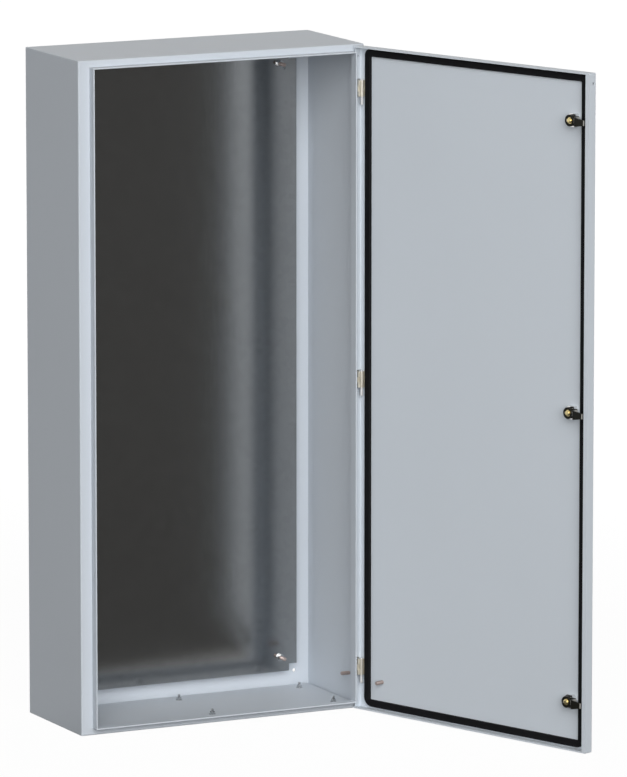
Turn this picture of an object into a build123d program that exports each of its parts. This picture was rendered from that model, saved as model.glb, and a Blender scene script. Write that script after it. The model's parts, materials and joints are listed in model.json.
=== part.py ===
from build123d import *
from math import cos, pi, radians, sin
import os

# Frame: origin at the centre of the four wall holes on the rear face.
# +Y points into the wall, the door is on the -Y side, +Z is up. Millimetres.

# Cabinet sheet metal
body_width = 650.0
body_height = 1400.0
body_depth = 258.0
sheet = 1.5
bend_radius = 3.0
corner_radius = 2.0
flange_side = 25.0
flange_end = 14.0
lip_depth = 20.0
lip_thickness = 3.0
lip_edge_radius = 1.35

# Holes for the wall bolts
wall_hole_edge_x = 35.0
wall_hole_edge_z = 34.0
wall_hole_radius = 3.5

# Mounting plate and its four studs
plate_gap_side = 39.5
plate_gap_end = 38.5
plate_thickness = 2.0
plate_standoff = 24.0
plate_notch_width = 18.0
plate_notch_height = 15.0
plate_stud_inset = 39.0
plate_stud_rise = 27.0
plate_stud_lift = 3.0
plate_stud_radius = 4.0
plate_stud_length = 48.5
plate_hole_radius = 4.5
plate_spacer_radius = 7.0
plate_washer_radius = 8.0
plate_washer_thickness = 1.6
plate_nut_flats = 13.0
plate_nut_height = 6.5
earth_hole_radius = 2.2
earth_hole_offset = 11.0

# Gland plate on the cabinet floor
gland_wall_gap = 3.5
gland_plate_thickness = 1.5
gland_seal_thickness = 1.0
gland_stud_inset_x = 42.5
gland_stud_rear = 42.0
gland_stud_front = 54.5
gland_stud_radius = 3.0
gland_stud_length = 15.0
gland_cut_margin = 16.0
gland_cut_radius = 6.0
gland_washer_radius = 7.0
gland_washer_thickness = 1.6
gland_nut_flats = 10.0
gland_nut_height = 5.0

# Earth studs
earth_stud_radius = 4.0
earth_stud_length = 20.0
cabinet_earth_height = 62.0
cabinet_earth_from_front = 61.0
door_earth_height = 61.5
door_earth_from_hinge_edge = 66.0

# Door pan
door_side_gap = 1.0
door_end_gap = 2.5
pan_depth = 21.3
door_bend_radius = 2.5
free_flange = 10.0
hem_depth = 10.0
hanging_hole_radius = 2.5
hanging_hole_drop = 21.5
hanging_hole_from_face = 9.0
open_angle = 110.0

# Door seal
seal_width = 15.0
seal_thickness = 6.2
seal_clearance = 0.3
seal_top_radius = 13.0
seal_bottom_radius = 20.0
seal_inner_radius = 2.0
seal_crown = 2.0

# Hinges
hinge_end_inset = 90.5
hinge_height = 33.6
knuckle_count = 3
pin_inset = 14.0
pin_rise = 8.5
pin_radius = 2.5
pin_fit = 0.05
pin_below = 17.5
pin_above = 2.5
pin_top_rounding = 1.0
pin_grip_radius = 3.2
pin_grip_drop = 4.0
pin_grip_rounding = 0.9
knuckle_radius = 4.2
knuckle_gap = 0.3
leaf_foot_thickness = 4.0
leaf_foot_width = 11.0
leaf_web_width = 6.0
leaf_lip_gap = 1.5
leaf_edge_radius = 1.0
leaf_relief_share = 0.75
door_leaf_half = 4.5
door_leaf_thickness = 3.5
door_neck_half = 3.0
swing_gap = 0.4
notch_gap = 2.0
leaf_screw_radius = 2.5
leaf_screw_head_radius = 4.5
leaf_screw_head_height = 2.8
leaf_screw_head_rounding = 0.9
leaf_screw_spacing = 20.0
leaf_screw_depth = 3.5

# Quarter-turn locks
lock_end_inset = 102.5
lock_inset = 53.5
lock_stem_radius = 11.0
lock_stem_flat = 10.0
lock_stem_length = 14.5
lock_head_radius = 14.5
lock_head_height = 4.0
lock_head_chamfer = 1.2
lock_seal_thickness = 0.8
lock_nut_flats = 27.0
lock_nut_height = 10.5
rotor_radius = 6.5
rotor_collar_radius = 8.5
rotor_collar_depth = 2.5
rotor_square = 7.0
key_well_radius = 5.2
key_well_depth = 7.0
key_post_radius = 1.9
key_bit_reach = 3.9
key_bit_width = 2.2
cam_hub_radius = 12.0
cam_hub_height = 6.5
cam_cup_radius = 7.4
cam_thickness = 3.5
cam_half_width = 10.0
cam_tip_half_width = 5.3
cam_step = 21.3
cam_reach = 48.2
cam_bend_radius = 1.5
cam_rim_chamfer = 0.8
cam_flange_gap = 0.3
cam_washer_radius = 6.6
cam_washer_thickness = 1.0
cam_screw_radius = 3.0
cam_screw_flats = 10.0
cam_screw_head = 4.0
cam_screw_rounding = 3.0
cam_screw_length = 9.0

# Shares of a nut's or a stud's own size
nut_chamfer_share = 0.6
stud_chamfer_share = 0.25

# Clearances that parts share
turn_fit = 0.05
slip_fit = 0.1
bolt_clearance = 0.5

# How far a cutter runs past the face that it opens, and into the wall beside it
overcut = 1.0
face_overlap = 0.01

# Places worked out from the sizes above
half_width = body_width / 2
half_height = body_height / 2
inside_x = half_width - sheet
inside_z = half_height - sheet
lip_x = half_width - flange_side
lip_z = half_height - flange_end
lip_front = -(body_depth + lip_depth)
floor_top = -inside_z
plate_half_width = half_width - plate_gap_side - sheet
plate_half_height = half_height - plate_gap_end - sheet
plate_rear = -plate_standoff
plate_front = plate_rear - plate_thickness
door_half_width = half_width - door_side_gap
door_half_height = half_height - door_end_gap
panel_inner = lip_front - seal_clearance - seal_thickness
panel_outer = panel_inner - sheet
pan_rim = panel_outer + pan_depth
seal_centre_x = lip_x - lip_thickness / 2
seal_centre_z = lip_z - lip_thickness / 2
pin_x = half_width - pin_inset
pin_y = panel_inner + pin_rise
hinge_reach = half_height - hinge_end_inset
hinge_levels = (-hinge_reach, 0.0, hinge_reach)
knuckle_height = hinge_height / knuckle_count
lock_x = -(door_half_width - lock_inset)
lock_reach = half_height - lock_end_inset
lock_levels = {"bottom": -lock_reach, "middle": 0.0, "top": lock_reach}
tongue_inner = -body_depth + sheet + cam_flange_gap - panel_outer

# The hinge-side wall of the pan swings towards the lip, so its rim is set by that gap
wall_from_pin = door_half_width - pin_x
open_sine = sin(radians(open_angle))
open_cosine = cos(radians(open_angle))
hinge_rim = pin_y + (pin_x - lip_x - swing_gap + wall_from_pin * open_cosine) / open_sine


def facing_front(y, x=0.0, z=0.0):
    """Plane across the cabinet at depth y, whose normal points to the front."""
    return Plane(origin=(x, y, z), x_dir=(1, 0, 0), z_dir=(0, -1, 0))


def block(x0, x1, y0, y1, z0, z1):
    """Rectangular solid between two opposite corners."""
    centre = Pos((x0 + x1) / 2, (y0 + y1) / 2, (z0 + z1) / 2)
    return centre * Box(abs(x1 - x0), abs(y1 - y0), abs(z1 - z0))


def rod(radius, start, direction, length):
    """Round bar from a start point along a direction."""
    return extrude(Plane(origin=start, z_dir=direction) * Circle(radius), length)


def ring(outer_radius, inner_radius, start, direction, length):
    """Round washer or tube from a start point along a direction."""
    section = Circle(outer_radius) - Circle(inner_radius)
    return extrude(Plane(origin=start, z_dir=direction) * section, length)


def hex_nut(flats, bore_radius, start, direction, length):
    """Hexagon nut with chamfered outer corners, from a start point along a direction."""
    plane = Plane(origin=start, z_dir=direction)
    hexagon = RegularPolygon(flats / 2, 6, major_radius=False)
    body = extrude(plane * (hexagon - Circle(bore_radius)), length)
    corner = flats / 2 / cos(pi / 6)
    barrel = extrude(plane * Circle(corner), length)
    barrel = chamfer(barrel.edges().filter_by(GeomType.CIRCLE), nut_chamfer_share * (corner - flats / 2))
    return body & barrel


def opened(shape):
    """Swing a closed-door shape about the hinge pins to the open rest pose."""
    return Pos(pin_x, pin_y, 0) * Rot(0, 0, open_angle) * Pos(-pin_x, -pin_y, 0) * shape


# Cabinet
def cabinet_wrap():
    """Four walls, front flange and raised sealing lip, folded from one sheet."""
    outline = RectangleRounded(body_width, body_height, corner_radius)
    outside = extrude(facing_front(0) * outline, body_depth)
    outside = fillet(outside.edges().group_by(Axis.Y)[0], bend_radius)
    hollow = extrude(facing_front(0) * Rectangle(2 * inside_x, 2 * inside_z), body_depth - sheet)
    hollow = fillet(hollow.edges().group_by(Axis.Y)[0], bend_radius - sheet)
    mouth = Rectangle(2 * (lip_x - lip_thickness), 2 * (lip_z - lip_thickness))
    lip_outline = RectangleRounded(2 * lip_x, 2 * lip_z, corner_radius)
    lip = extrude(facing_front(-body_depth + sheet) * (lip_outline - mouth), lip_depth + sheet)
    lip = fillet(lip.edges().group_by(Axis.Y)[0], lip_edge_radius)
    body = outside - hollow - extrude(facing_front(0) * mouth, body_depth) + lip
    body -= gland_cutout()
    for level in hinge_levels:
        for screw_z in screw_heights(level):
            start = (leaf_centre(), 0, screw_z)
            body -= rod(leaf_screw_radius + bolt_clearance, start, (0, -1, 0), body_depth)
    return body


def back_panel():
    """Rear sheet welded between the walls, with the four wall holes."""
    panel = Rectangle(2 * inside_x, 2 * inside_z)
    holes = GridLocations(2 * (half_width - wall_hole_edge_x), 2 * (half_height - wall_hole_edge_z), 2, 2)
    return extrude(facing_front(0) * (panel - holes * Circle(wall_hole_radius)), sheet)


# Gland plate
def gland_points():
    """Plan positions of the six floor studs."""
    reach = inside_x - gland_stud_inset_x + sheet
    rows = (-gland_stud_rear, -body_depth + gland_stud_front)
    return [(x, y) for y in rows for x in (-reach, 0.0, reach)]


def gland_outline(margin):
    """Plan rectangle of the floor, drawn in by a margin from the inner wall faces."""
    depth = body_depth - 2 * sheet - 2 * margin
    return Pos(0, -body_depth / 2) * Rectangle(2 * (inside_x - margin), depth)


def gland_cutout():
    """Cable opening through the floor, inside the stud pattern."""
    xs = [x for x, y in gland_points()]
    ys = [y for x, y in gland_points()]
    width = max(xs) - min(xs) - 2 * gland_cut_margin
    depth = max(ys) - min(ys) - 2 * gland_cut_margin
    shape = Pos(0, (max(ys) + min(ys)) / 2) * RectangleRounded(width, depth, gland_cut_radius)
    return extrude(Plane.XY.offset(-half_height) * shape, sheet)


def gland_layer(base, thickness, with_window):
    """Sheet on the floor that the six studs pass through."""
    shape = gland_outline(gland_wall_gap)
    for x, y in gland_points():
        shape -= Pos(x, y) * Circle(gland_stud_radius + bolt_clearance)
    layer = extrude(Plane.XY.offset(base) * shape, thickness)
    if with_window:
        layer -= Pos(0, 0, base + half_height) * gland_cutout()
    return layer


def gland_seal():
    """Foam seal between the floor and the gland plate."""
    return gland_layer(floor_top, gland_seal_thickness, True)


def gland_plate():
    """Blank plate that closes the cable opening."""
    return gland_layer(floor_top + gland_seal_thickness, gland_plate_thickness, False)


def gland_fasteners():
    """Studs, washers and nuts of the gland plate, each as a list of solids."""
    plate_top = floor_top + gland_seal_thickness + gland_plate_thickness
    up = (0, 0, 1)
    studs = []
    washers = []
    nuts = []
    for x, y in gland_points():
        stud = rod(gland_stud_radius, (x, y, floor_top), up, gland_stud_length)
        studs.append(chamfer(stud.edges().group_by(Axis.Z)[-1], stud_chamfer_share * gland_stud_radius))
        bore = gland_stud_radius + turn_fit
        washers.append(ring(gland_washer_radius, bore, (x, y, plate_top), up, gland_washer_thickness))
        seat = (x, y, plate_top + gland_washer_thickness)
        nuts.append(hex_nut(gland_nut_flats, bore, seat, up, gland_nut_height))
    return studs, washers, nuts


# Mounting plate
def plate_points():
    """Positions of the four studs that carry the mounting plate."""
    x = plate_half_width - plate_stud_inset
    z = plate_half_height - plate_stud_rise
    return [(side * x, end * z + plate_stud_lift) for end in (-1, 1) for side in (-1, 1)]


def mounting_plate():
    """Flat device plate with notched corners that leave the wall holes in reach."""
    shape = Rectangle(2 * plate_half_width, 2 * plate_half_height)
    notch = Rectangle(2 * plate_notch_width, 2 * plate_notch_height)
    shape -= GridLocations(2 * plate_half_width, 2 * plate_half_height, 2, 2) * notch
    for x, z in plate_points():
        shape -= Pos(x, z) * Circle(plate_hole_radius)
    top_x, top_z = plate_points()[-1]
    shape -= Pos(top_x + earth_hole_offset, top_z - earth_hole_offset) * Circle(earth_hole_radius)
    return extrude(facing_front(plate_rear) * shape, plate_thickness)


def plate_fasteners():
    """Studs, spacers, washers and nuts of the mounting plate, each as a list of solids."""
    front = (0, -1, 0)
    bore = plate_stud_radius + turn_fit
    studs = []
    spacers = []
    washers = []
    nuts = []
    for x, z in plate_points():
        stud = rod(plate_stud_radius, (x, -sheet, z), front, plate_stud_length)
        studs.append(chamfer(stud.edges().group_by(Axis.Y)[0], stud_chamfer_share * plate_stud_radius))
        spacers.append(ring(plate_spacer_radius, bore, (x, -sheet, z), front, plate_standoff - sheet))
        washers.append(ring(plate_washer_radius, bore, (x, plate_front, z), front, plate_washer_thickness))
        seat = (x, plate_front - plate_washer_thickness, z)
        nuts.append(hex_nut(plate_nut_flats, bore, seat, front, plate_nut_height))
    return studs, spacers, washers, nuts


# Earth studs
def earth_stud(start, direction):
    """Weld stud for an earth lead, chamfered at its free end."""
    stud = rod(earth_stud_radius, start, direction, earth_stud_length)
    far_end = stud.edges().sort_by(Axis(start, direction))[-1]
    return chamfer(far_end, stud_chamfer_share * earth_stud_radius)


def cabinet_earth_stud():
    """Earth stud on the right wall, near the floor and the front."""
    start = (inside_x, -body_depth + cabinet_earth_from_front, -half_height + cabinet_earth_height)
    return earth_stud(start, (-1, 0, 0))


def door_earth_stud():
    """Earth stud on the inner face of the closed door."""
    x = door_half_width - door_earth_from_hinge_edge
    return earth_stud((x, panel_inner, -door_half_height + door_earth_height), (0, 1, 0))


# Hinges
def leaf_centre():
    """Middle of the hinge foot across the front flange."""
    return lip_x + leaf_lip_gap + leaf_foot_width / 2


def screw_heights(level):
    """Heights of the two screws of one hinge."""
    return (level - leaf_screw_spacing / 2, level + leaf_screw_spacing / 2)


def knuckle(level, height):
    """Round barrel about the pin, with its middle at one level."""
    return rod(knuckle_radius, (pin_x, pin_y, level - height / 2), (0, 0, 1), height)


def pin_bore(level):
    """Running bore for the pin, right through one hinge."""
    start = (pin_x, pin_y, level - hinge_height)
    return rod(pin_radius + pin_fit, start, (0, 0, 1), 2 * hinge_height)


def cabinet_leaf(level):
    """Cast hinge half on the front flange: foot, web and the two outer knuckles."""
    low = level - hinge_height / 2
    high = level + hinge_height / 2
    foot_left = lip_x + leaf_lip_gap
    foot_front = -body_depth - leaf_foot_thickness
    web_left = foot_left + leaf_lip_gap
    web_right = web_left + leaf_web_width
    leaf = block(foot_left, foot_left + leaf_foot_width, -body_depth, foot_front, low, high)
    leaf = fillet(leaf.edges().filter_by(Axis.Z).group_by(Axis.Y)[0], leaf_edge_radius)
    leaf += block(web_left, web_right, foot_front, pin_y, low, high)
    leaf += knuckle(level, hinge_height)
    relief = knuckle_radius + swing_gap
    relief_half = knuckle_height / 2 + knuckle_gap
    relief_rear = pin_y + leaf_relief_share * relief
    leaf -= rod(relief, (pin_x, pin_y, level - relief_half), (0, 0, 1), 2 * relief_half)
    leaf -= block(
        web_left - overcut, pin_x, pin_y - relief, relief_rear, level - relief_half, level + relief_half,
    )
    leaf -= pin_bore(level)
    for screw_z in screw_heights(level):
        start = (leaf_centre(), -body_depth, screw_z)
        leaf -= rod(leaf_screw_radius + turn_fit, start, (0, -1, 0), leaf_foot_thickness)
    return leaf


def door_leaf(level):
    """Hinge half welded to the inside of the door: pad, neck and the middle knuckle."""
    low = level - hinge_height / 2
    high = level + hinge_height / 2
    pad_top = panel_inner + door_leaf_thickness
    pad = block(pin_x - door_leaf_half, pin_x + door_leaf_half, panel_inner, pad_top, low, high)
    pad = fillet(pad.edges().filter_by(Axis.Z).group_by(Axis.Y)[-1], leaf_edge_radius)
    neck_low = level - knuckle_height / 2
    neck_high = level + knuckle_height / 2
    neck = block(pin_x - door_neck_half, pin_x + door_neck_half, panel_inner, pin_y, neck_low, neck_high)
    return pad + neck + knuckle(level, knuckle_height) - pin_bore(level)


def hinge_pin(level):
    """Loose pin with a thicker grip end, which stands proud below the hinge."""
    base = level - hinge_height / 2 - pin_below
    length = hinge_height + pin_below + pin_above
    pin = rod(pin_radius, (pin_x, pin_y, base), (0, 0, 1), length)
    pin = fillet(pin.edges().group_by(Axis.Z)[-1], pin_top_rounding)
    grip = rod(pin_grip_radius, (pin_x, pin_y, base), (0, 0, 1), pin_below - pin_grip_drop)
    grip = fillet(grip.edges().filter_by(GeomType.CIRCLE), pin_grip_rounding)
    return pin + grip


def hinge_screws():
    """Screws driven from inside the flange into the hinge feet."""
    screws = []
    for level in hinge_levels:
        for screw_z in screw_heights(level):
            seat = (leaf_centre(), -body_depth + sheet, screw_z)
            head = rod(leaf_screw_head_radius, seat, (0, 1, 0), leaf_screw_head_height)
            head = fillet(head.edges().group_by(Axis.Y)[-1], leaf_screw_head_rounding)
            shank = rod(leaf_screw_radius, seat, (0, -1, 0), sheet + leaf_screw_depth)
            screws.append(head + shank)
    return screws


# Door
def door_panel():
    """Folded door pan with hemmed ends, a return flange and hinge notches."""
    outline = RectangleRounded(2 * door_half_width, 2 * door_half_height, corner_radius)
    pan = extrude(facing_front(pan_rim) * outline, pan_depth)
    pan = fillet(pan.edges().group_by(Axis.Y)[0], door_bend_radius)
    inner = Rectangle(2 * (door_half_width - sheet), 2 * (door_half_height - sheet))
    hollow = extrude(facing_front(pan_rim) * inner, pan_depth - sheet)
    hollow = fillet(hollow.edges().group_by(Axis.Y)[0], door_bend_radius - sheet)
    pan -= hollow
    side = door_half_width - sheet
    end = door_half_height - sheet
    for low, high in ((end - sheet, end), (-end, sheet - end)):
        pan += block(-side, side, pan_rim, pan_rim - hem_depth, low, high)
    pan += block(-side, -door_half_width + free_flange, pan_rim, pan_rim - sheet, -end, end)
    wall_inner = side - face_overlap
    wall_outer = door_half_width + overcut
    above_rim = pan_rim + overcut
    pan -= block(wall_inner, wall_outer, above_rim, hinge_rim, sheet - end, end - sheet)
    notch_half = hinge_height / 2 + notch_gap
    for level in hinge_levels:
        low, high = level - notch_half, level + notch_half
        pan -= block(wall_inner, wall_outer, above_rim, panel_inner + sheet, low, high)
    hanging_z = door_half_height - hanging_hole_drop
    hanging_start = (-wall_outer, panel_outer + hanging_hole_from_face, hanging_z)
    pan -= rod(hanging_hole_radius, hanging_start, (1, 0, 0), 2 * wall_outer)
    for level in lock_levels.values():
        pan -= lock_place(level) * extrude(stem_outline(slip_fit), sheet)
    return pan


def door_seal():
    """Poured foam bead on the door, under the lip, with rounded outer corners."""
    outer = Rectangle(2 * seal_centre_x + seal_width, 2 * seal_centre_z + seal_width)
    outer = fillet(outer.vertices().group_by(Axis.Y)[-1], seal_top_radius)
    outer = fillet(outer.vertices().group_by(Axis.Y)[0], seal_bottom_radius)
    window = (2 * seal_centre_x - seal_width, 2 * seal_centre_z - seal_width)
    inner = RectangleRounded(*window, seal_inner_radius)
    bead = extrude(facing_front(panel_inner + seal_thickness) * (outer - inner), seal_thickness)
    return fillet(bead.edges().group_by(Axis.Y)[-1], seal_crown)


# Locks, drawn with the outer door face at height 0 and the lock axis along +Z
def lock_place(level):
    """Plane of one lock on the closed door: X to the free edge, Z into the cabinet."""
    return Plane(origin=(lock_x, panel_outer, level), x_dir=(-1, 0, 0), z_dir=(0, 1, 0))


def stem_outline(extra):
    """Round stem section with two flats that stop it turning in the door."""
    radius = lock_stem_radius + extra
    return Circle(radius) & Rectangle(2 * radius, 2 * (lock_stem_flat + extra))


def lock_housing():
    """Lock body: chamfered head outside the door, flatted stem through it, stepped bore."""
    head_base = -lock_seal_thickness
    head = extrude(Plane.XY.offset(head_base) * Circle(lock_head_radius), -lock_head_height)
    head = chamfer(head.edges().group_by(Axis.Z)[0], lock_head_chamfer)
    stem = extrude(Plane.XY.offset(head_base) * stem_outline(0), lock_stem_length - head_base)
    front = Plane.XY.offset(head_base - lock_head_height)
    bore_length = lock_stem_length + lock_head_height - head_base
    bore = extrude(front * Circle(rotor_radius + turn_fit), bore_length)
    counterbore = extrude(front * Circle(rotor_collar_radius + turn_fit), rotor_collar_depth)
    return head + stem - bore - counterbore


def lock_seal():
    """Flat ring between the lock head and the door."""
    outline = Circle(lock_head_radius) - stem_outline(slip_fit)
    return extrude(Plane.XY.offset(-lock_seal_thickness) * outline, lock_seal_thickness)


def lock_nut():
    """Hexagon nut that clamps the lock body, one corner up."""
    bore = lock_stem_radius + turn_fit
    return hex_nut(lock_nut_flats, bore, (0, 0, sheet), (0, 0, 1), lock_nut_height)


def lock_rotor():
    """Turning core: key well with a double-bit post, shaft and square drive."""
    front = -lock_seal_thickness - lock_head_height
    core = extrude(Plane.XY.offset(front) * Circle(rotor_collar_radius), rotor_collar_depth - slip_fit)
    core += extrude(Plane.XY.offset(front) * Circle(rotor_radius), lock_stem_length - front)
    core -= extrude(Plane.XY.offset(front) * Circle(key_well_radius), key_well_depth)
    bit = Circle(key_post_radius) + Rectangle(2 * key_bit_reach, key_bit_width)
    core += extrude(Plane.XY.offset(front + slip_fit) * bit, key_well_depth)
    drive = Plane.XY.offset(lock_stem_length) * Rectangle(rotor_square, rotor_square)
    core += extrude(drive, swing_gap + cam_thickness - slip_fit)
    tapped = Plane.XY.offset(lock_stem_length + swing_gap + cam_thickness)
    return core - extrude(tapped * Circle(cam_screw_radius + turn_fit), -cam_screw_length - overcut)


def lock_cam():
    """Pressed cam: round hub on the square drive, stepped up to a tapered tongue."""
    hub_low = lock_stem_length + swing_gap
    hub_high = hub_low + cam_thickness
    tip_high = tongue_inner + cam_thickness
    step_far = cam_step + cam_thickness
    outline = Polyline(
        (-cam_hub_radius, hub_low), (step_far, hub_low), (step_far, tongue_inner),
        (cam_reach, tongue_inner), (cam_reach, tip_high), (cam_step, tip_high),
        (cam_step, hub_high), (-cam_hub_radius, hub_high), close=True,
    )
    side = make_face(outline)
    outer_bend = cam_bend_radius + cam_thickness
    bends = {
        (step_far, hub_low): outer_bend, (cam_step, tip_high): outer_bend,
        (step_far, tongue_inner): cam_bend_radius, (cam_step, hub_high): cam_bend_radius,
    }
    for corner, radius in bends.items():
        side = fillet(side.vertices().sort_by_distance((*corner, 0))[0], radius)
    strip = extrude(Plane.XZ * side, cam_hub_radius, both=True)
    plan = Circle(cam_hub_radius) + Pos(cam_step / 2, 0) * Rectangle(cam_step, 2 * cam_half_width)
    tongue = Polyline(
        (cam_step, -cam_half_width), (cam_reach, -cam_tip_half_width), (cam_reach, cam_tip_half_width),
        (cam_step, cam_half_width), close=True,
    )
    plan += make_face(tongue)
    cam = strip & extrude(plan, tip_high)
    rim = extrude(Plane.XY.offset(hub_low) * Circle(cam_hub_radius), cam_hub_height)
    rim = chamfer(rim.edges().group_by(Axis.Z)[-1], cam_rim_chamfer)
    cup = extrude(Plane.XY.offset(hub_high) * Circle(cam_cup_radius), cam_hub_height)
    square = Rectangle(rotor_square + 2 * turn_fit, rotor_square + 2 * turn_fit)
    return cam + rim - cup - extrude(square, hub_high)


def cam_washer():
    """Plain washer under the cam screw."""
    seat = lock_stem_length + swing_gap + cam_thickness
    bore = cam_screw_radius + slip_fit
    return ring(cam_washer_radius, bore, (0, 0, seat), (0, 0, 1), cam_washer_thickness)


def cam_screw():
    """Hexagon screw with a domed head, which holds the cam on the rotor."""
    seat = lock_stem_length + swing_gap + cam_thickness + cam_washer_thickness
    corner = cam_screw_flats / 2 / cos(pi / 6)
    head = extrude(Plane.XY.offset(seat) * RegularPolygon(corner, 6), cam_screw_head)
    dome = extrude(Plane.XY.offset(seat) * Circle(corner), cam_screw_head)
    dome = fillet(dome.edges().group_by(Axis.Z)[-1], cam_screw_rounding)
    shank = extrude(Plane.XY.offset(seat) * Circle(cam_screw_radius), -cam_screw_length)
    return (head & dome) + shank


def save(name, shape):
    """Write one sub-part; a list of solids becomes one group."""
    if isinstance(shape, list):
        shape = Compound(children=shape)
    export_step(shape, "parts/" + name + ".step")


def save_cabinet():
    """Everything fixed to the cabinet."""
    save("cabinet_wrap", cabinet_wrap())
    save("back_panel", back_panel())
    save("gland_seal", gland_seal())
    save("gland_plate", gland_plate())
    for name, solids in zip(("gland_studs", "gland_washers", "gland_nuts"), gland_fasteners()):
        save(name, solids)
    save("mounting_plate", mounting_plate())
    plate_names = ("plate_studs", "plate_spacers", "plate_washers", "plate_nuts")
    for name, solids in zip(plate_names, plate_fasteners()):
        save(name, solids)
    save("cabinet_earth_stud", cabinet_earth_stud())
    save("hinge_screws", hinge_screws())
    for name, level in zip(("bottom", "middle", "top"), hinge_levels):
        save("hinge_cabinet_leaf_" + name, cabinet_leaf(level))
        save("hinge_pin_" + name, hinge_pin(level))


def save_door():
    """Everything that swings with the door, in the open rest pose."""
    save("door_panel", opened(door_panel()))
    save("door_seal", opened(door_seal()))
    save("door_earth_stud", opened(door_earth_stud()))
    for name, level in zip(("bottom", "middle", "top"), hinge_levels):
        save("hinge_door_leaf_" + name, opened(door_leaf(level)))
    makers = {
        "lock_housing": lock_housing, "lock_seal": lock_seal, "lock_nut": lock_nut,
        "lock_rotor": lock_rotor, "lock_cam": lock_cam, "cam_washer": cam_washer, "cam_screw": cam_screw,
    }
    for name, level in lock_levels.items():
        for piece, make in makers.items():
            save(piece + "_" + name, opened(lock_place(level).location * make()))


os.makedirs("parts", exist_ok=True)
save_cabinet()
save_door()
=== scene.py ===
import json
import logging
import math
from dataclasses import dataclass
from enum import Enum

import bmesh
import bpy
from mathutils import Matrix, Vector

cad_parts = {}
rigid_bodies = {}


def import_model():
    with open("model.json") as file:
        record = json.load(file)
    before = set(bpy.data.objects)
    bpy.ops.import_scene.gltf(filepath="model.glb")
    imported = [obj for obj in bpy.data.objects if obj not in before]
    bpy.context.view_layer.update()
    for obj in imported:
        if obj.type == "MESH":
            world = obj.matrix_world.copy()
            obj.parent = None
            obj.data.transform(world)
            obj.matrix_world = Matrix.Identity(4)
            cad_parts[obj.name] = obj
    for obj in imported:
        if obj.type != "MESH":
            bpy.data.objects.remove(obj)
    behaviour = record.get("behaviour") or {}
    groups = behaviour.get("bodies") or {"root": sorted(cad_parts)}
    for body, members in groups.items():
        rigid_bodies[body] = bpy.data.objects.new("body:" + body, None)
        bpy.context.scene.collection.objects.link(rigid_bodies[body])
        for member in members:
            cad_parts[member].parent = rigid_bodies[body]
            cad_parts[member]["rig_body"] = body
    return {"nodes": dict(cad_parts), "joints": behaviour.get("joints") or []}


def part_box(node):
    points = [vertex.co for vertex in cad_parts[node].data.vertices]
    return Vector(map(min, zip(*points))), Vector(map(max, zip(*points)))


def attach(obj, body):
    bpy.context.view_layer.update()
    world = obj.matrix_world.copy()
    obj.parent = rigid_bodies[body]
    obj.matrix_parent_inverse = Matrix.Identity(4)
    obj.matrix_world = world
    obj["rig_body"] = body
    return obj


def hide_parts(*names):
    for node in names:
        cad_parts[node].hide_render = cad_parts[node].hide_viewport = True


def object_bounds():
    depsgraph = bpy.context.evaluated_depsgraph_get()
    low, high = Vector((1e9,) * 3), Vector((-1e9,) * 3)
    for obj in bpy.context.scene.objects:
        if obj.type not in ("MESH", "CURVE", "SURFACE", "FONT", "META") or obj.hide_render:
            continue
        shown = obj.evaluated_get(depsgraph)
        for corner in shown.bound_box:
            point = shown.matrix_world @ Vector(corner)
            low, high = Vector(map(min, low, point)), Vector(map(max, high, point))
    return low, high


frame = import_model()
CAD_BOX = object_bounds()
LOG = logging.getLogger("enclosure")
LEVELS = ("bottom", "middle", "top")

Colour = tuple[float, float, float, float]
Direction = tuple[float, float, float]
Sockets = dict[str, bpy.types.NodeSocket]


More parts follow.
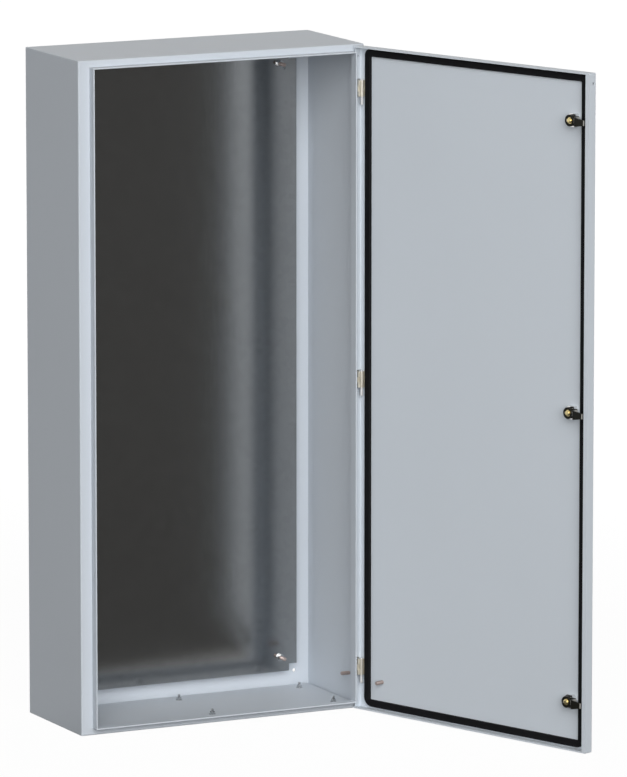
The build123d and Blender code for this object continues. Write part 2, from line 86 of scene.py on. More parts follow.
# Shader tree helper
class ShaderTree:
    """Adds nodes to one shader tree and joins them by socket."""

    def __init__(self, tree: bpy.types.NodeTree) -> None:
        """Keep the tree that later calls add to.

        Args:
            tree: The node tree of a material, a world or a group.
        """
        self.tree = tree

    def feed(self, socket: bpy.types.NodeSocket, value: object) -> None:
        """Join an output socket to an input, or set the input's own value."""
        if isinstance(value, bpy.types.NodeSocket):
            self.tree.links.new(value, socket)
        else:
            socket.default_value = value

    def add(self, kind: str, **inputs: object) -> bpy.types.Node:
        """Add one node and set or join its inputs.

        Args:
            kind: Blender's name of the node type.
            inputs: Value or output socket for each input, by its name with underscores for spaces.
        Returns:
            The new node.
        """
        node = self.tree.nodes.new(kind)
        for name, value in inputs.items():
            self.feed(node.inputs[name.replace("_", " ")], value)
        return node

    def colour(self, value: Colour) -> bpy.types.NodeSocket:
        """Add a plain colour and give its socket."""
        node = self.tree.nodes.new("ShaderNodeRGB")
        node.outputs[0].default_value = value
        return node.outputs[0]

    def math(self, operation: str, *values: object) -> bpy.types.NodeSocket:
        """Add a math node.

        Args:
            operation: Blender's name of the operation.
            values: Numbers or output sockets, in order.
        Returns:
            The result socket.
        """
        node = self.tree.nodes.new("ShaderNodeMath")
        node.operation = operation
        for socket, value in zip(node.inputs, values):
            self.feed(socket, value)
        return node.outputs[0]

    def vector(self, operation: str, *values: object, **named: object) -> bpy.types.NodeOutputs:
        """Add a vector math node.

        Args:
            operation: Blender's name of the operation.
            values: Vectors or output sockets, in order.
            named: Further inputs by their name.
        Returns:
            The node's outputs.
        """
        node = self.tree.nodes.new("ShaderNodeVectorMath")
        node.operation = operation
        for socket, value in zip(node.inputs, values):
            self.feed(socket, value)
        for name, value in named.items():
            self.feed(node.inputs[name], value)
        return node.outputs

    def ramp(
        self, value: bpy.types.NodeSocket, start: float, end: float, low: float = 0.0, high: float = 1.0
    ) -> bpy.types.NodeSocket:
        """Stretch one range of a value over another and stop at its ends.

        Args:
            value: Output socket of the value.
            start: The value that gives the low result.
            end: The value that gives the high result.
            low: Result at the start.
            high: Result at the end.
        Returns:
            The result socket.
        """
        node = self.add("ShaderNodeMapRange", Value=value)
        for name, number in (("From Min", start), ("From Max", end), ("To Min", low), ("To Max", high)):
            node.inputs[name].default_value = number
        return node.outputs[0]

    def noise(
        self, coordinate: bpy.types.NodeSocket, scale: object, detail: float = 2.0
    ) -> bpy.types.NodeSocket:
        """Add a noise texture.

        Args:
            coordinate: Output socket with the coordinates.
            scale: Features per metre, a number or an output socket.
            detail: Octaves of finer noise.
        Returns:
            The noise value socket, about 0.5 on average.
        """
        node = self.add("ShaderNodeTexNoise", Vector=coordinate, Scale=scale, Detail=detail)
        return node.outputs["Fac"]

    def swing(self, value: bpy.types.NodeSocket, amount: object) -> bpy.types.NodeSocket:
        """Turn a 0 to 1 value into a factor about 1.

        Args:
            value: Output socket that averages 0.5.
            amount: How far the factor goes each way at most.
        Returns:
            The factor socket.
        """
        centred = self.math("MULTIPLY_ADD", value, 2.0, -1.0)
        return self.math("MULTIPLY_ADD", centred, amount, 1.0)

    def tint(self, colour: bpy.types.NodeSocket, factor: bpy.types.NodeSocket) -> bpy.types.NodeSocket:
        """Multiply a colour by a factor.

        Args:
            colour: Output socket of the colour.
            factor: Output socket of the factor.
        Returns:
            The tinted colour socket.
        """
        return self.vector("SCALE", colour, Scale=factor)[0]

    def blend(self, factor: object, first: object, second: object) -> bpy.types.NodeSocket:
        """Mix two colours.

        Args:
            factor: Share of the second colour.
            first: First colour or output socket.
            second: Second colour or output socket.
        Returns:
            The mixed colour socket.
        """
        node = self.tree.nodes.new("ShaderNodeMix")
        node.data_type = "RGBA"
        for name, value in (("Factor", factor), ("A", first), ("B", second)):
            sockets = [s for s in node.inputs if s.name == name and s.enabled]
            self.feed(sockets[0], value)
        return [s for s in node.outputs if s.enabled][0]


# Effects that several finishes share, each a node group
class EffectGroup:
    """One shader node group with named inputs and outputs."""

    title = "effect"
    takes: tuple[tuple[str, str, object], ...] = ()
    gives: tuple[tuple[str, str], ...] = ()

    def group(self) -> bpy.types.NodeTree:
        """Build the group at its first use.

        Returns:
            The shared node group.
        """
        made = bpy.data.node_groups.get(self.title)
        if made:
            return made
        made = bpy.data.node_groups.new(self.title, "ShaderNodeTree")
        for name, kind, value in self.takes:
            socket = made.interface.new_socket(name, in_out="INPUT", socket_type="NodeSocket" + kind)
            socket.default_value = value
        for name, kind in self.gives:
            made.interface.new_socket(name, in_out="OUTPUT", socket_type="NodeSocket" + kind)
        entry = made.nodes.new("NodeGroupInput")
        leave = made.nodes.new("NodeGroupOutput")
        results = self.shade(ShaderTree(made), entry.outputs)
        for name, value in results.items():
            made.links.new(value, leave.inputs[name])
        return made

    def shade(self, tree: ShaderTree, given: bpy.types.NodeOutputs) -> Sockets:
        """Build the inside of the group.

        Args:
            tree: Helper on the group's tree.
            given: The group's input values.
        Returns:
            Output sockets by the group's output names.
        """
        raise NotImplementedError

    def place(self, tree: ShaderTree, **inputs: object) -> bpy.types.NodeOutputs:
        """Put the group into a material.

        Args:
            tree: Helper on the material's tree.
            inputs: Value or output socket for each named input.
        Returns:
            The placed group's outputs.
        """
        node = tree.tree.nodes.new("ShaderNodeGroup")
        node.node_tree = self.group()
        for name, value in inputs.items():
            tree.feed(node.inputs[name.replace("_", " ")], value)
        return node.outputs


class PowderTexture(EffectGroup):
    """Fine orange peel, speckle and slow tone drift of a baked powder coat."""

    title = "powder_texture"
    takes = (
        ("Paint", "Color", (0.6, 0.6, 0.6, 1.0)), ("Grain", "Float", 520.0), ("Drift", "Float", 0.02),
        ("Speckle", "Float", 0.03), ("Roughness", "Float", 0.45),
    )
    gives = (("Color", "Color"), ("Roughness", "Float"), ("Height", "Float"))
    speck_to_grain = 1.7
    drift_scale = 3.5
    gloss_swing = 0.16

    def shade(self, tree: ShaderTree, given: bpy.types.NodeOutputs) -> Sockets:
        """Mix three scales of noise into tone, gloss and relief."""
        place = tree.add("ShaderNodeTexCoord").outputs["Object"]
        peel = tree.noise(place, given["Grain"], detail=1.0)
        speck = tree.noise(place, tree.math("MULTIPLY", given["Grain"], self.speck_to_grain))
        drift = tree.noise(place, self.drift_scale, detail=3.0)
        tone = tree.math("MULTIPLY", tree.swing(drift, given["Drift"]), tree.swing(speck, given["Speckle"]))
        gloss = tree.math("MULTIPLY", given["Roughness"], tree.swing(speck, self.gloss_swing))
        return {"Color": tree.tint(given["Paint"], tone), "Roughness": gloss, "Height": peel}


class EdgeRub(EffectGroup):
    """Mask of the convex edges that handling rubs."""

    title = "edge_rub"
    takes = (("Width", "Float", 0.0012), ("Breakup", "Float", 60.0), ("Strength", "Float", 1.0))
    gives = (("Mask", "Float"),)
    bevel_samples = 4
    flat_alignment = 1.0
    edge_alignment = 0.86
    breakup_gain = 1.2
    breakup_floor = 0.1

    def shade(self, tree: ShaderTree, given: bpy.types.NodeOutputs) -> Sockets:
        """Compare the rounded normal with the flat one and break the result up."""
        rounded = tree.add("ShaderNodeBevel", Radius=given["Width"])
        rounded.samples = self.bevel_samples
        flat = tree.add("ShaderNodeNewGeometry").outputs["Normal"]
        align = tree.vector("DOT_PRODUCT", rounded.outputs[0], flat)["Value"]
        edge = tree.ramp(align, self.flat_alignment, self.edge_alignment)
        place = tree.add("ShaderNodeTexCoord").outputs["Object"]
        breakup = tree.noise(place, given["Breakup"], detail=3.0)
        broken = tree.math("MULTIPLY_ADD", breakup, self.breakup_gain, self.breakup_floor)
        patchy = tree.math("MULTIPLY", edge, broken)
        limited = tree.math("MINIMUM", tree.math("MULTIPLY", patchy, given["Strength"]), 1.0)
        return {"Mask": limited}


class SettledDust(EffectGroup):
    """Mask of the thin dust that lies on faces that look up."""

    title = "settled_dust"
    takes = (("Amount", "Float", 0.3), ("Patch", "Float", 14.0))
    gives = (("Mask", "Float"),)

    def shade(self, tree: ShaderTree, given: bpy.types.NodeOutputs) -> Sockets:
        """Fade a noise by how far each face looks up."""
        normal = tree.add("ShaderNodeNewGeometry").outputs["Normal"]
        upward = tree.add("ShaderNodeSeparateXYZ", Vector=normal).outputs["Z"]
        level = tree.math("MAXIMUM", upward, 0.0)
        place = tree.add("ShaderNodeTexCoord").outputs["Object"]
        patch = tree.noise(place, given["Patch"], detail=4.0)
        return {"Mask": tree.math("MULTIPLY", tree.math("MULTIPLY", level, patch), given["Amount"])}


class PlatingCloud(EffectGroup):
    """Cloudy tone and gloss of a plated or passivated metal surface."""

    title = "plating_cloud"
    takes = (
        ("Metal", "Color", (0.7, 0.7, 0.7, 1.0)), ("Tarnish", "Color", (0.4, 0.4, 0.4, 1.0)),
        ("Cloud", "Float", 160.0), ("Depth", "Float", 0.4), ("Roughness", "Float", 0.3),
    )
    gives = (("Color", "Color"), ("Roughness", "Float"), ("Height", "Float"))
    fine_to_cloud = 9.0
    gloss_swing = 0.35

    def shade(self, tree: ShaderTree, given: bpy.types.NodeOutputs) -> Sockets:
        """Let noise choose between bright metal and tarnish."""
        place = tree.add("ShaderNodeTexCoord").outputs["Object"]
        cloud = tree.noise(place, given["Cloud"], detail=4.0)
        fine = tree.noise(place, tree.math("MULTIPLY", given["Cloud"], self.fine_to_cloud))
        share = tree.math("MULTIPLY", cloud, given["Depth"])
        tone = tree.blend(share, given["Metal"], given["Tarnish"])
        gloss = tree.math("MULTIPLY", given["Roughness"], tree.swing(cloud, self.gloss_swing))
        return {"Color": tone, "Roughness": gloss, "Height": fine}


# Finishes
@dataclass(frozen=True)
class Finish:
    """A procedural surface finish, built as one material."""

    title: str

    def material(self) -> bpy.types.Material:
        """Build the material at its first use.

        Returns:
            The finished material.
        """
        made = bpy.data.materials.get(self.title)
        if made:
            return made
        made = bpy.data.materials.new(self.title)
        made.use_nodes = True
        shader = next(n for n in made.node_tree.nodes if n.type == "BSDF_PRINCIPLED")
        self.shade(ShaderTree(made.node_tree), shader)
        return made

    def shade(self, tree: ShaderTree, shader: bpy.types.Node) -> None:
        """Feed the material's shader.

        Args:
            tree: Helper on the material's tree.
            shader: The Principled BSDF of the material.
        """
        raise NotImplementedError

    def relief(
        self, tree: ShaderTree, shader: bpy.types.Node, height: bpy.types.NodeSocket, depth: float
    ) -> None:
        """Join a height to the shader's normal.

        Args:
            tree: Helper on the material's tree.
            shader: The Principled BSDF of the material.
            height: Output socket of the height.
            depth: Depth of the relief in metres.
        """
        bump = tree.add("ShaderNodeBump", Height=height, Distance=depth, Strength=1.0)
        tree.feed(shader.inputs["Normal"], bump.outputs[0])

    def wear(self, *objects: bpy.types.Object) -> None:
        """Put this finish on every material slot of the objects."""
        made = self.material()
        for obj in objects:
            if not obj.material_slots:
                obj.data.materials.append(made)
            for slot in obj.material_slots:
                slot.material = made
            LOG.info("%s: %s", obj.name, self.title)


@dataclass(frozen=True)
class PowderCoat(Finish):
    """Baked light grey powder coat on sheet steel."""

    paint: Colour = (0.60, 0.645, 0.70, 1.0)
    rubbed: Colour = (0.80, 0.84, 0.88, 1.0)
    dust: Colour = (0.62, 0.62, 0.60, 1.0)
    roughness: float = 0.42
    specular: float = 0.25
    peel_depth: float = 0.00005
    rub_width: float = 0.0015
    rub_strength: float = 0.5
    dust_amount: float = 0.25

    def shade(self, tree: ShaderTree, shader: bpy.types.Node) -> None:
        """Layer the coat, its rubbed edges and settled dust."""
        coat = PowderTexture().place(tree, Paint=self.paint, Roughness=self.roughness)
        edges = EdgeRub().place(tree, Width=self.rub_width, Strength=self.rub_strength)
        dusty = SettledDust().place(tree, Amount=self.dust_amount)
        worn = tree.blend(edges["Mask"], coat["Color"], self.rubbed)
        tree.feed(shader.inputs["Base Color"], tree.blend(dusty["Mask"], worn, self.dust))
        tree.feed(shader.inputs["Roughness"], coat["Roughness"])
        shader.inputs["Specular IOR Level"].default_value = self.specular
        self.relief(tree, shader, coat["Height"], self.peel_depth)


@dataclass(frozen=True)
class RolledSheet(Finish):
    """Galvanised sheet steel with rolling grain and a faint spangle."""

    metal: Colour = (0.46, 0.46, 0.455, 1.0)
    roughness: float = 0.13
    stretch: Direction = (60.0, 60.0, 1.5)
    grain_scale: float = 12.0
    grain_tone: float = 0.05
    grain_gloss: float = 0.12
    grain_depth: float = 0.00002
    spangle_scale: float = 70.0
    spangle_tone: float = 0.035

    def shade(self, tree: ShaderTree, shader: bpy.types.Node) -> None:
        """Stretch noise along the sheet and add spangle flakes."""
        place = tree.add("ShaderNodeTexCoord").outputs["Object"]
        along = tree.add("ShaderNodeMapping", Vector=place, Scale=self.stretch).outputs[0]
        grain = tree.noise(along, self.grain_scale, detail=3.0)
        spangle = tree.add("ShaderNodeTexVoronoi", Vector=place, Scale=self.spangle_scale)
        flake = tree.add("ShaderNodeSeparateColor", Color=spangle.outputs["Color"]).outputs[0]
        rolled = tree.swing(grain, self.grain_tone)
        tone = tree.math("MULTIPLY", rolled, tree.swing(flake, self.spangle_tone))
        gloss = tree.math("MULTIPLY", tree.swing(grain, self.grain_gloss), self.roughness)
        tree.feed(shader.inputs["Base Color"], tree.tint(tree.colour(self.metal), tone))
        tree.feed(shader.inputs["Roughness"], gloss)
        shader.inputs["Metallic"].default_value = 1.0
        self.relief(tree, shader, grain, self.grain_depth)


@dataclass(frozen=True)
class PlatedMetal(Finish):
    """Plated, passivated or cast metal with a cloudy surface."""

    metal: Colour = (0.75, 0.76, 0.78, 1.0)
    tarnish: Colour = (0.5, 0.5, 0.5, 1.0)
    cloud: float = 160.0
    depth: float = 0.35
    roughness: float = 0.28
    relief_depth: float = 0.00002
    metallic: float = 1.0
    rubbed: Colour = (0.85, 0.85, 0.85, 1.0)
    rub_width: float = 0.0004
    rub_strength: float = 0.6

    def shade(self, tree: ShaderTree, shader: bpy.types.Node) -> None:
        """Layer the plating and its brighter rubbed edges."""
        plate = PlatingCloud().place(
            tree, Metal=self.metal, Tarnish=self.tarnish, Cloud=self.cloud, Depth=self.depth,
            Roughness=self.roughness,
        )
        edges = EdgeRub().place(tree, Width=self.rub_width, Strength=self.rub_strength)
        tree.feed(shader.inputs["Base Color"], tree.blend(edges["Mask"], plate["Color"], self.rubbed))
        tree.feed(shader.inputs["Roughness"], plate["Roughness"])
        shader.inputs["Metallic"].default_value = self.metallic
        self.relief(tree, shader, plate["Height"], self.relief_depth)


@dataclass(frozen=True)
class BlackCoat(Finish):
    """Thin black coat on pressed steel, a little brown where it is worn, with a painted highlight in pale
    grey on faces that look one way, such as the tongue's tip.
    """

    paint: Colour = (0.012, 0.012, 0.009, 1.0)
    rubbed: Colour = (0.10, 0.095, 0.07, 1.0)
    painted_highlight: Colour = (0.42, 0.41, 0.38, 1.0)
    highlight_direction: Direction = (0.342, -0.940, 0.0)
    highlight_fade: tuple[float, float] = (0.9, 0.97)
    roughness: float = 0.38
    specular: float = 0.15
    grain: float = 1400.0
    speckle: float = 0.15
    peel_depth: float = 0.00003
    rub_width: float = 0.0006
    rub_breakup: float = 300.0
    rub_strength: float = 0.8

    def shade(self, tree: ShaderTree, shader: bpy.types.Node) -> None:
        """Layer the coat, its worn edges and the painted highlight on faces that look one way."""
        coat = PowderTexture().place(
            tree, Paint=self.paint, Grain=self.grain, Roughness=self.roughness, Speckle=self.speckle
        )
        edges = EdgeRub().place(
            tree, Width=self.rub_width, Breakup=self.rub_breakup, Strength=self.rub_strength
        )
        # Painted highlight: faces that look one way, the tongue's tip and the hub's rim among them, fade to
        # pale grey as if light fell on them.
        normal = tree.add("ShaderNodeTexCoord").outputs["Normal"]
        facing = tree.vector("DOT_PRODUCT", normal, self.highlight_direction)["Value"]
        tip = tree.ramp(facing, *self.highlight_fade)
        worn = tree.blend(edges["Mask"], coat["Color"], self.rubbed)
        tree.feed(shader.inputs["Base Color"], tree.blend(tip, worn, self.painted_highlight))
        tree.feed(shader.inputs["Roughness"], coat["Roughness"])
        shader.inputs["Specular IOR Level"].default_value = self.specular
        self.relief(tree, shader, coat["Height"], self.peel_depth)


@dataclass(frozen=True)
class FoamRubber(Finish):
    """Closed black foam with fine open pores on its skin."""

    rubber: Colour = (0.004, 0.004, 0.005, 1.0)
    skin: Colour = (0.014, 0.014, 0.016, 1.0)
    pore_scale: float = 900.0
    pore_depth: float = 0.0002
    cloud_scale: float = 40.0
    roughness: float = 0.6
    roughness_rise: float = 0.2
    specular: float = 0.15

    def shade(self, tree: ShaderTree, shader: bpy.types.Node) -> None:
        """Darken the pores and roughen the skin between them."""
        place = tree.add("ShaderNodeTexCoord").outputs["Object"]
        pores = tree.add("ShaderNodeTexVoronoi", Vector=place, Scale=self.pore_scale).outputs["Distance"]
        cloud = tree.noise(place, self.cloud_scale, detail=3.0)
        share = tree.math("MULTIPLY", tree.math("MINIMUM", pores, 1.0), cloud)
        gloss = tree.math("MULTIPLY_ADD", cloud, self.roughness_rise, self.roughness)
        tree.feed(shader.inputs["Base Color"], tree.blend(share, self.rubber, self.skin))
        tree.feed(shader.inputs["Roughness"], gloss)
        shader.inputs["Specular IOR Level"].default_value = self.specular
        self.relief(tree, shader, pores, self.pore_depth)


CABINET_PAINT = PowderCoat("light_grey_powder_coat")
# Painted light: the door's coat is the cabinet's grey made lighter, to stand for more light falling on the
# door.
LIT_DOOR_PAINT = PowderCoat("lit_door_powder_coat", paint=(0.665, 0.715, 0.77, 1.0), dust_amount=0.15)
SHEET = RolledSheet("galvanised_sheet")
FOAM = FoamRubber("black_foam")
ZINC = PlatedMetal(
    "bright_zinc", metal=(0.76, 0.77, 0.78, 1.0), tarnish=(0.17, 0.17, 0.17, 1.0), roughness=0.18,
)
COPPER = PlatedMetal(
    "copper_plate", metal=(0.52, 0.43, 0.405, 1.0), tarnish=(0.24, 0.19, 0.175, 1.0), depth=0.6,
    roughness=0.45, metallic=0.5, rubbed=(0.6, 0.5, 0.46, 1.0),
)
HINGE_ZINC = PlatedMetal(
    "beige_hinge_zinc", metal=(0.80, 0.76, 0.66, 1.0), tarnish=(0.66, 0.62, 0.52, 1.0), cloud=500.0,
    depth=0.3, roughness=0.33, metallic=0.65,
)
NICKEL = PlatedMetal(
    "nickel_pin", metal=(0.8, 0.8, 0.81, 1.0), tarnish=(0.65, 0.65, 0.66, 1.0), roughness=0.4,
    metallic=0.4,
)
LOCK_CHROME = PlatedMetal(
    "polished_lock_zinc", metal=(0.82, 0.82, 0.82, 1.0), tarnish=(0.6, 0.6, 0.58, 1.0), roughness=0.16,
)
CAM_BLACK = BlackCoat("black_cam_coat")
YELLOW = PlatedMetal(
    "yellow_passivate", metal=(0.95, 0.80, 0.42, 1.0), tarnish=(0.66, 0.5, 0.2, 1.0), roughness=0.3,
    rubbed=(0.95, 0.86, 0.6, 1.0),
)


# Model nodes by name
def nodes(*names: str) -> list[bpy.types.Object]:
    """Objects of the named model nodes."""
    return [frame["nodes"][name] for name in names]


def at_levels(*stems: str) -> list[bpy.types.Object]:
    """Objects of the nodes that repeat at the three heights.

    Args:
        stems: Node names without their height.
    Returns:
        One object for each stem and height.
    """
    return [frame["nodes"][stem + "_" + level] for stem in stems for level in LEVELS]


# Threaded studs
class Thread(Enum):
    """Metric threads of the studs: major radius, pitch and root radius in metres."""

    M6 = (0.003, 0.001, 0.0024)
    M8 = (0.004, 0.00125, 0.0033)

    @property
    def major(self) -> float:
        """Outer radius of the thread."""
        return self.value[0]

    @property
    def pitch(self) -> float:
        """Height of one turn."""
        return self.value[1]

    @property
    def root(self) -> float:
        """Radius at the bottom of the thread's groove."""
        return self.value[2]


@dataclass
class ThreadedStud:
    """Stud with a real helical thread, made to stand in a plain stud's place.

    The profile pairs a share of the pitch with a height from the root, 0, to the crest, 1.
    """

    base: Vector
    direction: Vector
    length: float
    thread: Thread
    end_chamfer: float = 0.001
    core_share: float = 0.8
    facets: int = 24
    profile: tuple[tuple[float, float], ...] = ((0.0, 0.0), (0.12, 0.0), (0.47, 1.0), (0.65, 1.0))

    def radius(self, crest: float, height: float) -> float:
        """Radius of the thread at one point of its profile.

        Args:
            crest: 0 at the root and 1 at the crest.
            height: Distance from the stud's base.
        Returns:
            The radius, drawn in at the free end.
        """
        thread = self.thread
        full = thread.root + (thread.major - thread.root) * crest
        tip = thread.major - max(0.0, height - (self.length - self.end_chamfer))
        return min(full, max(tip, thread.root * self.core_share))

    def row(self, turn: int, share: float, crest: float) -> list[Vector]:
        """Points of one turn of the helix at one point of the profile.

        Args:
            turn: Number of the turn from the base.
            share: Share of the pitch.
            crest: 0 at the root and 1 at the crest.
        Returns:
            One point for each facet, kept between the two end faces.
        """
        points = []
        for facet in range(self.facets + 1):
            angle = 2 * math.pi * facet / self.facets
            height = self.thread.pitch * (turn + share + facet / self.facets)
            height = min(max(height, 0.0), self.length)
            reach = self.radius(crest, height)
            if height in (0.0, self.length):
                reach = self.radius(0.0, height)
            points.append(Vector((reach * math.cos(angle), reach * math.sin(angle), height)))
        return points

    def mesh(self, target: bmesh.types.BMesh) -> None:
        """Add the stud to a mesh.

        Args:
            target: The mesh under construction.
        """
        turns = math.ceil(self.length / self.thread.pitch) + 1
        turning = self.direction.to_track_quat("Z", "Y").to_matrix().to_4x4()
        placing = Matrix.Translation(self.base) @ turning
        rows = [
            [target.verts.new(placing @ point) for point in self.row(turn, share, crest)]
            for turn in range(-1, turns)
            for share, crest in self.profile
        ]
        for low, high in zip(rows, rows[1:]):
            for facet in range(self.facets):
                target.faces.new((low[facet], low[facet + 1], high[facet + 1], high[facet]))


@dataclass
class StudPiece:
    """One piece of several studs, in place of the model node of the same job."""

    node: str
    studs: list[ThreadedStud]
    finish: Finish
    slot: str
    weld_distance: float = 0.00001

    def build(self) -> bpy.types.Object:
        """Make the piece.

        Returns:
            The new piece, riding on the node's body.
        """
        mesh = bmesh.new()
        for stud in self.studs:
            stud.mesh(mesh)
        bmesh.ops.remove_doubles(mesh, verts=mesh.verts, dist=self.weld_distance)
        rims = [e for e in mesh.edges if e.is_boundary]
        bmesh.ops.holes_fill(mesh, edges=rims)
        bmesh.ops.recalc_face_normals(mesh, faces=mesh.faces)
        data = bpy.data.meshes.new("threaded_" + self.node)
        mesh.to_mesh(data)
        mesh.free()
        obj = bpy.data.objects.new("threaded_" + self.node, data)
        bpy.context.scene.collection.objects.link(obj)
        self.finish.wear(obj)
        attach(obj, frame["nodes"][self.node]["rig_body"])
        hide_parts(self.node)
        LOG.info("%s: %d studs, %d faces", obj.name, len(self.studs), len(data.polygons))
        return obj


# Sub-assemblies
class SubAssembly:
    """A group of pieces that is dressed and built together."""

    def dress(self) -> None:
        """Put the finishes on the model's own nodes."""
        raise NotImplementedError

    def build(self) -> None:
        """Add the pieces that the model's nodes leave plain; most sub-assemblies add none."""


@dataclass
class CabinetShell(SubAssembly):
    """Folded cabinet, its rear panel, mounting plate, gland plate and studs."""

    paint: Finish = CABINET_PAINT
    sheet: Finish = SHEET
    foam: Finish = FOAM
    plating: Finish = ZINC
    copper: Finish = COPPER
    plate_thread: Thread = Thread.M8
    gland_thread: Thread = Thread.M6
    earth_thread: Thread = Thread.M8

    def dress(self) -> None:
        """Put the finishes on the cabinet's own nodes."""
        self.paint.wear(*nodes("cabinet_wrap", "back_panel", "gland_plate"))
        self.sheet.wear(*nodes("mounting_plate"))
        self.foam.wear(*nodes("gland_seal"))
        self.plating.wear(*nodes("gland_washers", "gland_nuts", "gland_studs"))
        self.plating.wear(*nodes("plate_spacers", "plate_washers", "plate_nuts", "hinge_screws"))
        self.copper.wear(*nodes("plate_studs", "cabinet_earth_stud"))

    def plate_studs(self) -> list[ThreadedStud]:
        """Studs at the mounting plate's four corners."""
        low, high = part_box("plate_studs")
        radius = self.plate_thread.major
        return [
            ThreadedStud(Vector((x, high.y, z)), Vector((0, -1, 0)), high.y - low.y, self.plate_thread)
            for x in (low.x + radius, high.x - radius)
            for z in (low.z + radius, high.z - radius)
        ]

    def gland_studs(self) -> list[ThreadedStud]:
        """Two rows of three studs in the floor."""
        low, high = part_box("gland_studs")
        radius = self.gland_thread.major
        return [
            ThreadedStud(Vector((x, y, low.z)), Vector((0, 0, 1)), high.z - low.z, self.gland_thread)
            for x in (low.x + radius, (low.x + high.x) / 2, high.x - radius)
            for y in (low.y + radius, high.y - radius)
        ]

    def earth_stud(self) -> ThreadedStud:
        """Earth stud on the right wall."""
        low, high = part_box("cabinet_earth_stud")
        middle = (low + high) / 2
        base = Vector((high.x, middle.y, middle.z))
        return ThreadedStud(base, Vector((-1, 0, 0)), high.x - low.x, self.earth_thread)

    def build(self) -> None:
        """Replace the plain studs by threaded ones."""
        StudPiece("plate_studs", self.plate_studs(), self.copper, "copper_plated").build()
        StudPiece("gland_studs", self.gland_studs(), self.plating, "zinc").build()
        StudPiece("cabinet_earth_stud", [self.earth_stud()], self.copper, "copper_plated").build()


@dataclass
class DoorLeaf(SubAssembly):
    """Door pan with its seal and earth stud."""

    paint: Finish = LIT_DOOR_PAINT
    foam: Finish = FOAM
    copper: Finish = COPPER
    stud_length: float = 0.020
    stud_thread: Thread = Thread.M8

    def dress(self) -> None:
        """Put the finishes on the door's own nodes."""
        self.paint.wear(*nodes("door_panel"))
        self.foam.wear(*nodes("door_seal"))
        self.copper.wear(*nodes("door_earth_stud"))

    def build(self) -> None:
        """Replace the plain earth stud by a threaded one, square to the door like the locks."""
        lock = next(j for j in frame["joints"] if j["name"] == "lock_turn_middle")
        inward = Vector(lock["axis"]).normalized()
        low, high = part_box("door_earth_stud")
        base = (low + high) / 2 - inward * self.stud_length / 2
        stud = ThreadedStud(base, inward, self.stud_length, self.stud_thread)
        StudPiece("door_earth_stud", [stud], self.copper, "copper_plated").build()


@dataclass
class HingeSet(SubAssembly):
    """Three hinges: cast halves and loose pins."""

    halves: Finish = HINGE_ZINC
    pins: Finish = NICKEL

    def dress(self) -> None:
        """Put the finishes on the hinges."""
        self.halves.wear(*at_levels("hinge_cabinet_leaf", "hinge_door_leaf"))
        self.pins.wear(*at_levels("hinge_pin"))


@dataclass
class LockSet(SubAssembly):
    """Three quarter-turn locks."""

    body: Finish = LOCK_CHROME
    foam: Finish = FOAM
    cam: Finish = CAM_BLACK
    screw: Finish = YELLOW

    def dress(self) -> None:
        """Put the finishes on the locks."""
        self.body.wear(*at_levels("lock_housing", "lock_nut", "lock_rotor"))
        self.foam.wear(*at_levels("lock_seal"))
        self.cam.wear(*at_levels("lock_cam"))
        self.screw.wear(*at_levels("cam_washer", "cam_screw"))


# Studio
@dataclass(frozen=True)
class SoftLamp:
    """A round soft lamp that faces the object: metres and watts."""

    name: str
    direction: Direction
    distance: float
    size: float
    power: float
    seen_in_gloss: bool = True

    def hang(self) -> None:
        """Add the lamp to the scene."""
        towards = Vector(self.direction).normalized()
        data = bpy.data.lights.new(self.name, "AREA")
        data.shape = "DISK"
        data.size = self.size
        data.energy = self.power
        lamp = bpy.data.objects.new(self.name, data)
        lamp.location = towards * self.distance
        lamp.rotation_euler = towards.to_track_quat("Z", "Y").to_euler()
        lamp.visible_camera = False
        lamp.visible_glossy = self.seen_in_gloss
        bpy.context.scene.collection.objects.link(lamp)
        LOG.info("%s: %.0f W", self.name, self.power)


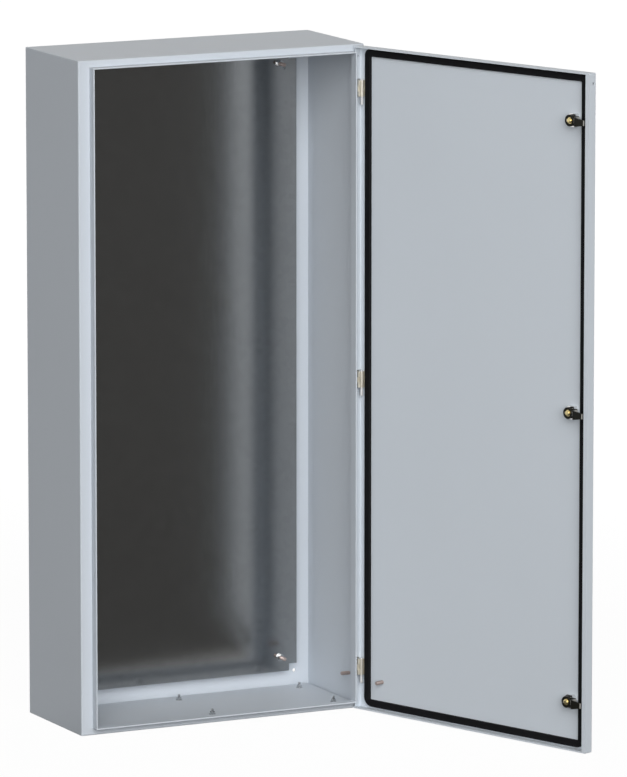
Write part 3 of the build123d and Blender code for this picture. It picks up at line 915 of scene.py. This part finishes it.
@dataclass
class Studio:
    """Camera at the photograph's viewpoint, soft lamps, pale floor and white surround.

    Gloss sees a white sweep behind and beside the object and a dim room in front of it. The sweep's
    axis points from the room to the sweep.
    """

    camera_place: tuple[float, float, float] = (-6.7211, -14.1442, 2.647)
    camera_yaw: float = 26.52
    camera_pitch: float = -9.73
    camera_lens: float = 351.7
    camera_sensor: float = 36.0
    camera_reach: float = 200.0
    lamps: tuple[SoftLamp, ...] = (
        SoftLamp("key_lamp", (-0.335, -0.892, 0.304), distance=16.0, size=15.0, power=2870.0),
        SoftLamp("top_lamp", (0.0, 0.0, 1.0), distance=5.0, size=3.5, power=15.0),
        SoftLamp("rear_lamp", (0.7, 0.7, 0.1), distance=9.0, size=5.0, power=260.0, seen_in_gloss=False),
    )
    fill: Colour = (0.10, 0.102, 0.102, 1.0)
    room: Colour = (0.064, 0.063, 0.061, 1.0)
    white: Colour = (1.0, 1.0, 1.0, 1.0)
    sweep_axis: Direction = (0.15, 0.99, 0.0)
    sweep_edge: tuple[float, float] = (0.2, -0.15)
    floor_sweep_edge: tuple[float, float] = (-0.04, -0.42)
    floor_paint: Colour = (0.82, 0.82, 0.82, 1.0)
    floor_bounce: Colour = (0.15, 0.15, 0.148, 1.0)
    floor_grain_scale: float = 3.0
    floor_grain_tone: float = 0.02
    floor_reach: float = 30.0
    floor_gap: float = 0.0005
    floor_glow: float = 0.96
    glow_radii: tuple[float, float] = (1.2, 3.5)
    glow_strengths: tuple[float, float] = (1.01, 1.05)

    def camera(self) -> None:
        """Place the camera."""
        data = bpy.data.cameras.new("photo_camera")
        data.lens = self.camera_lens
        data.sensor_width = self.camera_sensor
        data.clip_end = self.camera_reach
        camera = bpy.data.objects.new("photo_camera", data)
        camera.location = self.camera_place
        camera.rotation_euler = (math.radians(90 + self.camera_pitch), 0.0, -math.radians(self.camera_yaw))
        bpy.context.scene.collection.objects.link(camera)
        bpy.context.scene.camera = camera

    def gloss_colour(
        self, tree: ShaderTree, place: bpy.types.NodeSocket, edge: tuple[float, float]
    ) -> bpy.types.NodeSocket:
        """Colour that gloss sees, white in the sweep and dim in the room.

        Args:
            tree: Helper on the tree that uses it.
            place: Position or direction socket.
            edge: Where along the sweep's axis the white ends and the room begins.
        Returns:
            The colour socket.
        """
        along = tree.vector("DOT_PRODUCT", place, self.sweep_axis)["Value"]
        return tree.blend(tree.ramp(along, *edge), self.white, self.room)

    def surround(self) -> None:
        """Make the world: white to the camera, sweep and room to gloss, and a level fill."""
        world = bpy.data.worlds.new("studio_surround")
        bpy.context.scene.world = world
        world.use_nodes = True
        tree = ShaderTree(world.node_tree)
        tree.tree.nodes.clear()
        path = tree.add("ShaderNodeLightPath").outputs
        place = tree.add("ShaderNodeTexCoord").outputs["Generated"]
        mirrored = self.gloss_colour(tree, place, self.sweep_edge)
        lit = tree.blend(path["Is Glossy Ray"], self.fill, mirrored)
        seen = tree.math("MAXIMUM", path["Is Camera Ray"], path["Is Transmission Ray"])
        glow = tree.add("ShaderNodeBackground", Color=tree.blend(seen, lit, self.white), Strength=1.0)
        leave = tree.add("ShaderNodeOutputWorld")
        tree.feed(leave.inputs["Surface"], glow.outputs[0])

    def floor(self) -> None:
        """Lay the pale floor just under the object."""
        low, _ = CAD_BOX
        reach = self.floor_reach
        data = bpy.data.meshes.new("studio_floor")
        corners = [(-reach, -reach, 0.0), (reach, -reach, 0.0), (reach, reach, 0.0), (-reach, reach, 0.0)]
        data.from_pydata(corners, [], [(0, 1, 2, 3)])
        floor = bpy.data.objects.new("studio_floor", data)
        floor.location.z = low[2] - self.floor_gap
        bpy.context.scene.collection.objects.link(floor)
        data.materials.append(self.floor_material())

    def floor_material(self) -> bpy.types.Material:
        """Make the floor's material.

        Returns:
            A material that is white to the camera, keeps a faint shadow and bounces little light.
        """
        material = bpy.data.materials.new("pale_floor")
        material.use_nodes = True
        tree = ShaderTree(material.node_tree)
        tree.tree.nodes.clear()
        path = tree.add("ShaderNodeLightPath").outputs
        place = tree.add("ShaderNodeTexCoord").outputs["Object"]
        grain = tree.swing(tree.noise(place, self.floor_grain_scale, detail=3.0), self.floor_grain_tone)
        mirrored = self.gloss_colour(tree, place, self.floor_sweep_edge)
        glowing = tree.blend(path["Is Glossy Ray"], self.white, mirrored)
        seen = tree.math("MAXIMUM", path["Is Camera Ray"], path["Is Transmission Ray"])
        seen = tree.math("MAXIMUM", seen, path["Is Glossy Ray"])
        paint = tree.blend(seen, self.floor_bounce, self.floor_paint)
        pale = tree.add("ShaderNodeBsdfDiffuse", Color=tree.tint(paint, grain))
        radius = tree.vector("LENGTH", place)["Value"]
        rising = tree.ramp(radius, *self.glow_radii, *self.glow_strengths)
        glow = tree.add("ShaderNodeEmission", Color=glowing, Strength=rising)
        mix = tree.add("ShaderNodeMixShader")
        parts = (tree.math("MULTIPLY", seen, self.floor_glow), pale.outputs[0], glow.outputs[0])
        for socket, value in zip(mix.inputs, parts):
            tree.feed(socket, value)
        leave = tree.add("ShaderNodeOutputMaterial")
        tree.feed(leave.inputs["Surface"], mix.outputs[0])
        return material

    def build(self) -> None:
        """Set the whole studio up."""
        bpy.context.scene.view_settings.view_transform = "Standard"
        self.camera()
        for lamp in self.lamps:
            lamp.hang()
        self.surround()
        self.floor()
        LOG.info("studio ready")


def main() -> None:
    """Build and dress the enclosure and set the studio."""
    logging.basicConfig(level=logging.INFO)
    for assembly in (CabinetShell(), DoorLeaf(), HingeSet(), LockSet()):
        assembly.dress()
        assembly.build()
    Studio().build()


if __name__ == "__main__":
    main()
